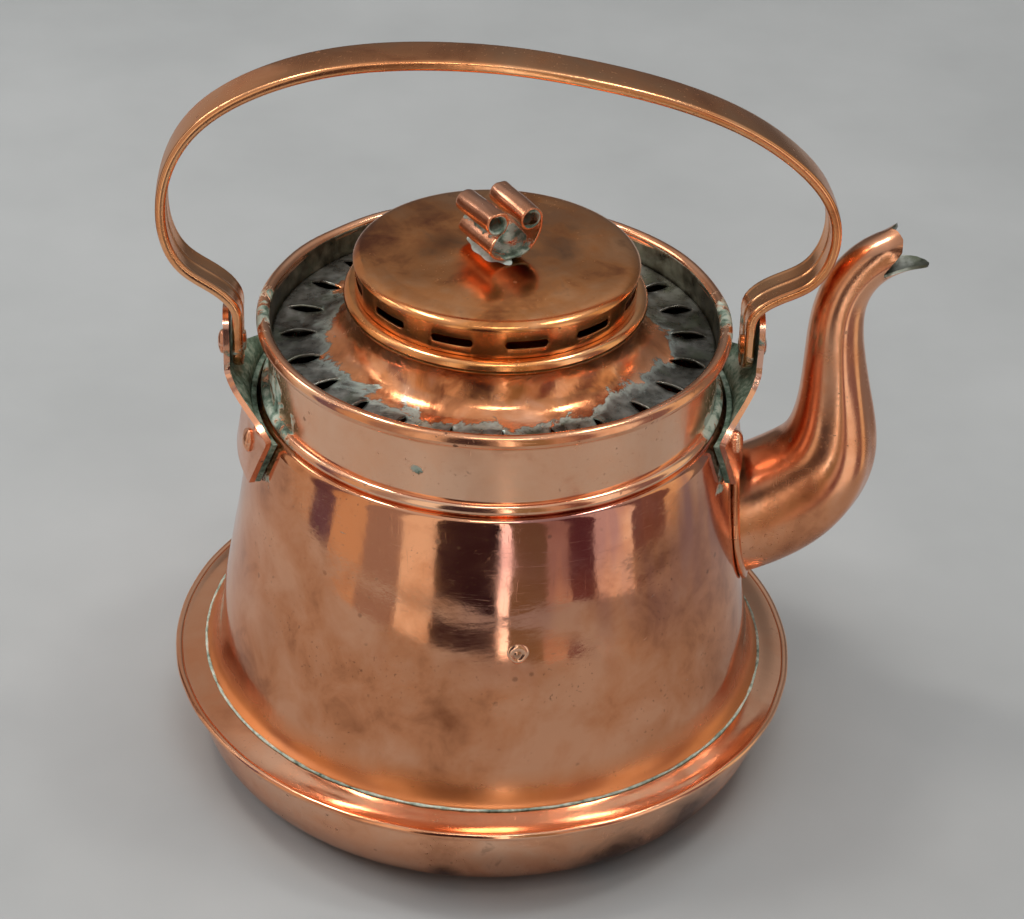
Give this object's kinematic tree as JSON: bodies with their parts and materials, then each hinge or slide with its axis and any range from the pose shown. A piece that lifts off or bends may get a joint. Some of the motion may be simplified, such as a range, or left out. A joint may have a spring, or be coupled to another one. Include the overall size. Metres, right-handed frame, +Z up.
{
  "type": "copper kettle",
  "caption": "Antique copper stove kettle with drop-in base pan, curved spout, swinging bail handle, lift-out vented bell insert and small vented cap.",
  "frame": {"origin": "centre of the flat underside of the base pan", "axes": "+Z up along the vessel's axis, +X towards the spout along the line of the handle's pivots"},
  "size_m": [0.3115, 0.27, 0.3195],
  "materials": {
    "copper": "polished aged copper with brown and purple patina patches",
    "handle_copper": "polished copper worn by the hand",
    "dark_copper": "brown patinated copper",
    "rivet_copper": "hammered copper rivets",
    "green_copper": "copper with pale green verdigris",
    "tinned_copper": "old grey tin lining",
    "tin_solder": "soft solder with a green tint"
  },
  "bodies": {
    "vessel": {"base_pan": "copper", "brim_plate": "copper", "brim_bead": "copper", "foot_solder": "tin_solder", "body_cone": "copper", "shoulder_bead": "copper", "neck_collar": "copper", "neck_rim_roll": "copper", "spout_pipe": "copper", "spout_collar": "copper", "rear_ear": "copper", "front_ear": "copper", "rear_ear_backing": "green_copper", "front_ear_backing": "green_copper", "ear_rivets": "rivet_copper", "rear_pivot_rivet": "rivet_copper", "front_pivot_rivet": "rivet_copper", "body_plug": "copper"},
    "bail": {"bail_strap": "handle_copper"},
    "insert": {"insert_bell": "copper", "insert_sleeve": "tinned_copper", "insert_ring": "copper"},
    "cap": {"cap_disc": "dark_copper", "cap_drum": "dark_copper", "cap_sleeve": "copper", "knob_scroll": "copper", "knob_solder": "tin_solder"}
  },
  "joints": [
    {"name": "bail_swing", "type": "hinge", "parent": "vessel", "child": "bail", "pos_m": [0, 0, 0.1898], "axis": [1, 0, 0], "range_deg": [-85, 85]},
    {"name": "insert_lift", "type": "slide", "parent": "vessel", "child": "insert", "axis": [0, 0, 1], "range_m": [0, 0.039]},
    {"name": "cap_lift", "type": "slide", "parent": "insert", "child": "cap", "axis": [0, 0, 1], "range_m": [0, 0.014]}
  ]
}
